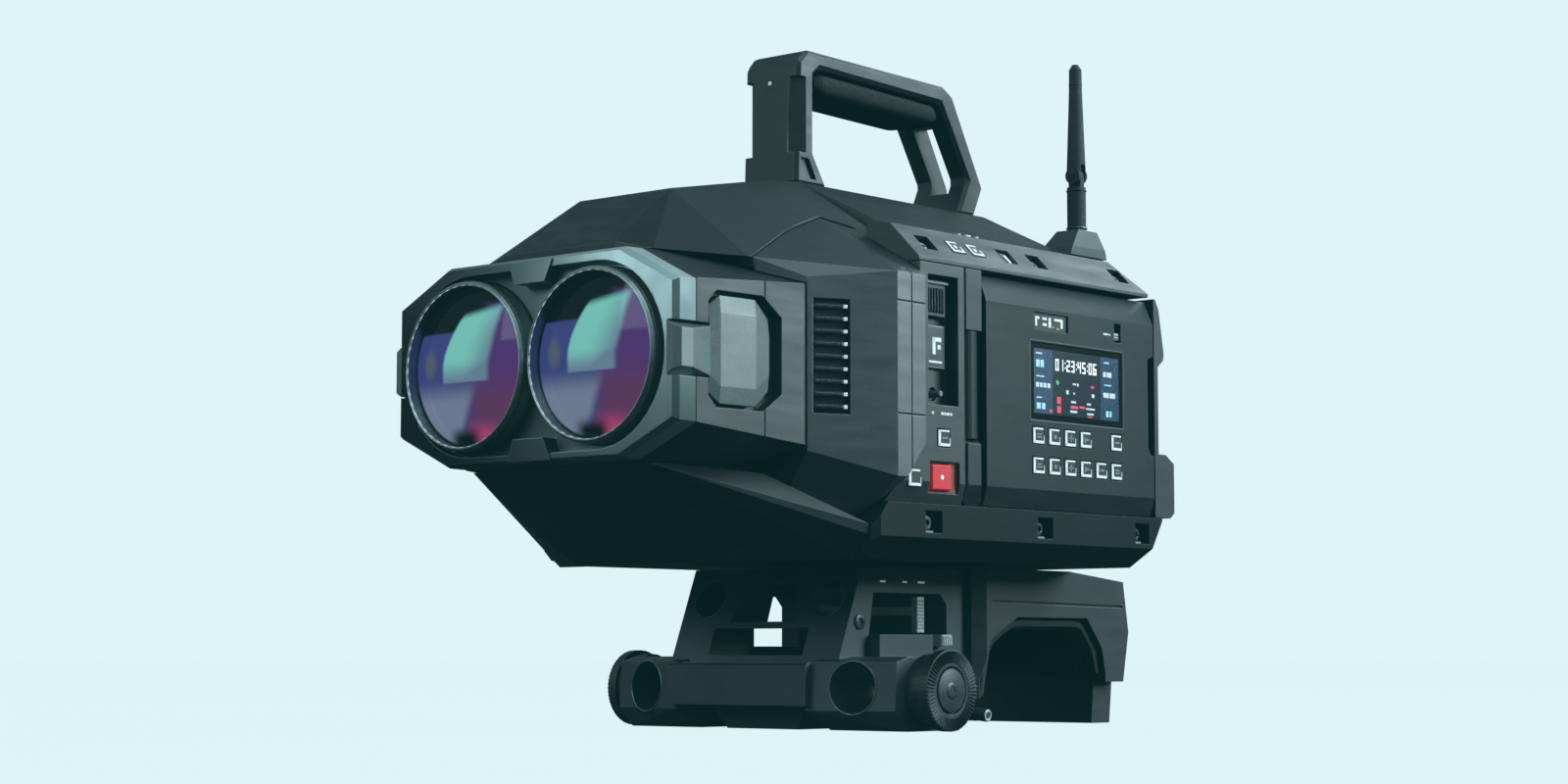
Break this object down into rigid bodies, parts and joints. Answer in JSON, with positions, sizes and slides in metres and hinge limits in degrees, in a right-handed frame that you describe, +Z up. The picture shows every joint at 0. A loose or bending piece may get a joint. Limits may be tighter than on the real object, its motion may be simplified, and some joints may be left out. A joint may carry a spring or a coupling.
{
  "type": "cinema camera rig",
  "caption": "Side-by-side lens cinema camera with a fold-out monitor, top handle, antenna, rod baseplate with side rosettes and a shoulder pad.",
  "frame": {"origin": "middle of the bounding box's underside, on the ground", "axes": "+X to the operator's left, -Y the way the lenses look, +Z up"},
  "size_m": [0.176, 0.304, 0.272],
  "materials": {
    "slate_shell": "fine matte paint, dark slate",
    "black_anodised": "black anodised",
    "grey_clip": "satin grey",
    "rubber": "matte, ribbed",
    "coated_glass": "multi-coated, blue to violet sheen",
    "screen_glass": "dark navy display cover",
    "key_plastic": "matte black",
    "record_red": "bright red",
    "lever_white": "off-white",
    "circuit_board": "green solder mask",
    "heat_sink_alloy": "bare extruded"
  },
  "bodies": {
    "camera_body": {"front_bezel": "slate_shell", "barrel_housing": "slate_shell", "front_cowl": "slate_shell", "hood_cover": "slate_shell", "nose_tray": "slate_shell", "control_panel": "slate_shell", "right_cover": "slate_shell", "rear_panel": "slate_shell", "bottom_tray": "slate_shell", "top_rail_left": "slate_shell", "top_rail_right": "slate_shell", "top_cover": "slate_shell", "handle_frame": "slate_shell", "shoulder_shell": "slate_shell", "lens_barrel_left": "black_anodised", "lens_barrel_right": "black_anodised", "vent_grille_left": "black_anodised", "vent_grille_right": "black_anodised", "chassis": "black_anodised", "battery_plate": "black_anodised", "hinge_post": "black_anodised", "antenna_base": "black_anodised", "base_body": "black_anodised", "rosette_left": "black_anodised", "rosette_right": "black_anodised", "handle_grip": "rubber", "shoulder_pad": "rubber", "front_glass_left": "coated_glass", "front_glass_right": "coated_glass", "sensor_board": "circuit_board", "main_board": "circuit_board", "heat_sink": "heat_sink_alloy"},
    "monitor": {"monitor_shell": "slate_shell", "status_screen": "screen_glass", "touch_screen": "screen_glass"},
    "record_button": {"record_button": "record_red"},
    "menu_button": {"menu_button": "key_plastic"},
    "power_toggle": {"power_toggle": "grey_clip"},
    "clip_cover_left": {"clip_cover_left": "grey_clip"},
    "clip_cover_right": {"clip_cover_right": "grey_clip"},
    "media_module": {"media_module": "black_anodised"},
    "battery_release": {"battery_release": "record_red"},
    "top_button_1": {"top_button_1": "key_plastic"},
    "top_button_2": {"top_button_2": "key_plastic"},
    "cooling_fan": {"cooling_fan": "key_plastic"},
    "antenna_knuckle": {"antenna_knuckle": "key_plastic"},
    "antenna_whip": {"antenna_whip": "rubber"},
    "release_lever": {"release_lever": "lever_white"},
    "rod_clamp_lever": {"rod_clamp_lever": "black_anodised"},
    "status_button_01": {"status_button_01": "key_plastic"},
    "status_button_02": {"status_button_02": "key_plastic"},
    "status_button_03": {"status_button_03": "key_plastic"},
    "status_button_04": {"status_button_04": "key_plastic"},
    "status_button_05": {"status_button_05": "key_plastic"},
    "status_button_06": {"status_button_06": "key_plastic"},
    "status_button_07": {"status_button_07": "key_plastic"},
    "status_button_08": {"status_button_08": "key_plastic"},
    "status_button_09": {"status_button_09": "key_plastic"},
    "status_button_10": {"status_button_10": "key_plastic"},
    "status_button_11": {"status_button_11": "key_plastic"}
  },
  "joints": [
    {"name": "monitor_swing", "type": "hinge", "parent": "camera_body", "child": "monitor", "pos_m": [0.0795, -0.0012, 0.126], "axis": [0, 0, -1], "range_deg": [0, 90]},
    {"name": "record_button_press", "type": "slide", "parent": "camera_body", "child": "record_button", "axis": [-1, 0, 0], "range_m": [0, 0.001], "stiffness_N_per_m": 800},
    {"name": "menu_button_press", "type": "slide", "parent": "camera_body", "child": "menu_button", "axis": [-1, 0, 0], "range_m": [0, 0.0008], "stiffness_N_per_m": 800},
    {"name": "power_toggle_tilt", "type": "hinge", "parent": "camera_body", "child": "power_toggle", "pos_m": [0.0765, -0.019, 0.124], "axis": [0, 1, 0], "range_deg": [-11, 11], "stiffness_Nm_per_rad": 0.02},
    {"name": "clip_cover_left_open", "type": "hinge", "parent": "camera_body", "child": "clip_cover_left", "pos_m": [0.0683, -0.1, 0.1319], "axis": [0, 0, 1], "range_deg": [0, 20]},
    {"name": "clip_cover_right_open", "type": "hinge", "parent": "camera_body", "child": "clip_cover_right", "pos_m": [-0.0683, -0.1, 0.1319], "axis": [0, 0, -1], "range_deg": [0, 20]},
    {"name": "media_module_slide", "type": "slide", "parent": "camera_body", "child": "media_module", "axis": [-1, 0, 0], "range_m": [0, 0.045]},
    {"name": "battery_release_slide", "type": "slide", "parent": "camera_body", "child": "battery_release", "axis": [1, 0, 0], "range_m": [0, 0.004], "stiffness_N_per_m": 400},
    {"name": "top_button_1_press", "type": "slide", "parent": "camera_body", "child": "top_button_1", "axis": [-0.7071, 0, -0.7071], "range_m": [0, 0.0008], "stiffness_N_per_m": 800},
    {"name": "top_button_2_press", "type": "slide", "parent": "camera_body", "child": "top_button_2", "axis": [-0.7071, 0, -0.7071], "range_m": [0, 0.0008], "stiffness_N_per_m": 800},
    {"name": "cooling_fan_spin", "type": "hinge", "parent": "camera_body", "child": "cooling_fan", "pos_m": [0, 0.008, 0.122], "axis": [0, 0, 1], "continuous": true},
    {"name": "antenna_swivel", "type": "hinge", "parent": "camera_body", "child": "antenna_knuckle", "pos_m": [0.052, 0.113, 0.2023], "axis": [0, 0, 1], "range_deg": [-90, 90]},
    {"name": "antenna_fold", "type": "hinge", "parent": "antenna_knuckle", "child": "antenna_whip", "pos_m": [0.052, 0.113, 0.2254], "axis": [0, 1, 0], "range_deg": [0, 90]},
    {"name": "release_lever_turn", "type": "hinge", "parent": "camera_body", "child": "release_lever", "pos_m": [0, 0.013, 0.0448], "axis": [0, 0, 1], "range_deg": [-18, 18]},
    {"name": "rod_clamp_lever_turn", "type": "hinge", "parent": "camera_body", "child": "rod_clamp_lever", "pos_m": [0.064, 0.0112, 0.007], "axis": [0, -1, 0], "range_deg": [0, 80]},
    {"name": "status_button_01_press", "type": "slide", "parent": "monitor", "child": "status_button_01", "axis": [-1, 0, 0], "range_m": [0, 0.0008], "stiffness_N_per_m": 800},
    {"name": "status_button_02_press", "type": "slide", "parent": "monitor", "child": "status_button_02", "axis": [-1, 0, 0], "range_m": [0, 0.0008], "stiffness_N_per_m": 800},
    {"name": "status_button_03_press", "type": "slide", "parent": "monitor", "child": "status_button_03", "axis": [-1, 0, 0], "range_m": [0, 0.0008], "stiffness_N_per_m": 800},
    {"name": "status_button_04_press", "type": "slide", "parent": "monitor", "child": "status_button_04", "axis": [-1, 0, 0], "range_m": [0, 0.0008], "stiffness_N_per_m": 800},
    {"name": "status_button_05_press", "type": "slide", "parent": "monitor", "child": "status_button_05", "axis": [-1, 0, 0], "range_m": [0, 0.0008], "stiffness_N_per_m": 800},
    {"name": "status_button_06_press", "type": "slide", "parent": "monitor", "child": "status_button_06", "axis": [-1, 0, 0], "range_m": [0, 0.0008], "stiffness_N_per_m": 800},
    {"name": "status_button_07_press", "type": "slide", "parent": "monitor", "child": "status_button_07", "axis": [-1, 0, 0], "range_m": [0, 0.0008], "stiffness_N_per_m": 800},
    {"name": "status_button_08_press", "type": "slide", "parent": "monitor", "child": "status_button_08", "axis": [-1, 0, 0], "range_m": [0, 0.0008], "stiffness_N_per_m": 800},
    {"name": "status_button_09_press", "type": "slide", "parent": "monitor", "child": "status_button_09", "axis": [-1, 0, 0], "range_m": [0, 0.0008], "stiffness_N_per_m": 800},
    {"name": "status_button_10_press", "type": "slide", "parent": "monitor", "child": "status_button_10", "axis": [-1, 0, 0], "range_m": [0, 0.0008], "stiffness_N_per_m": 800},
    {"name": "status_button_11_press", "type": "slide", "parent": "monitor", "child": "status_button_11", "axis": [-1, 0, 0], "range_m": [0, 0.0008], "stiffness_N_per_m": 800}
  ]
}
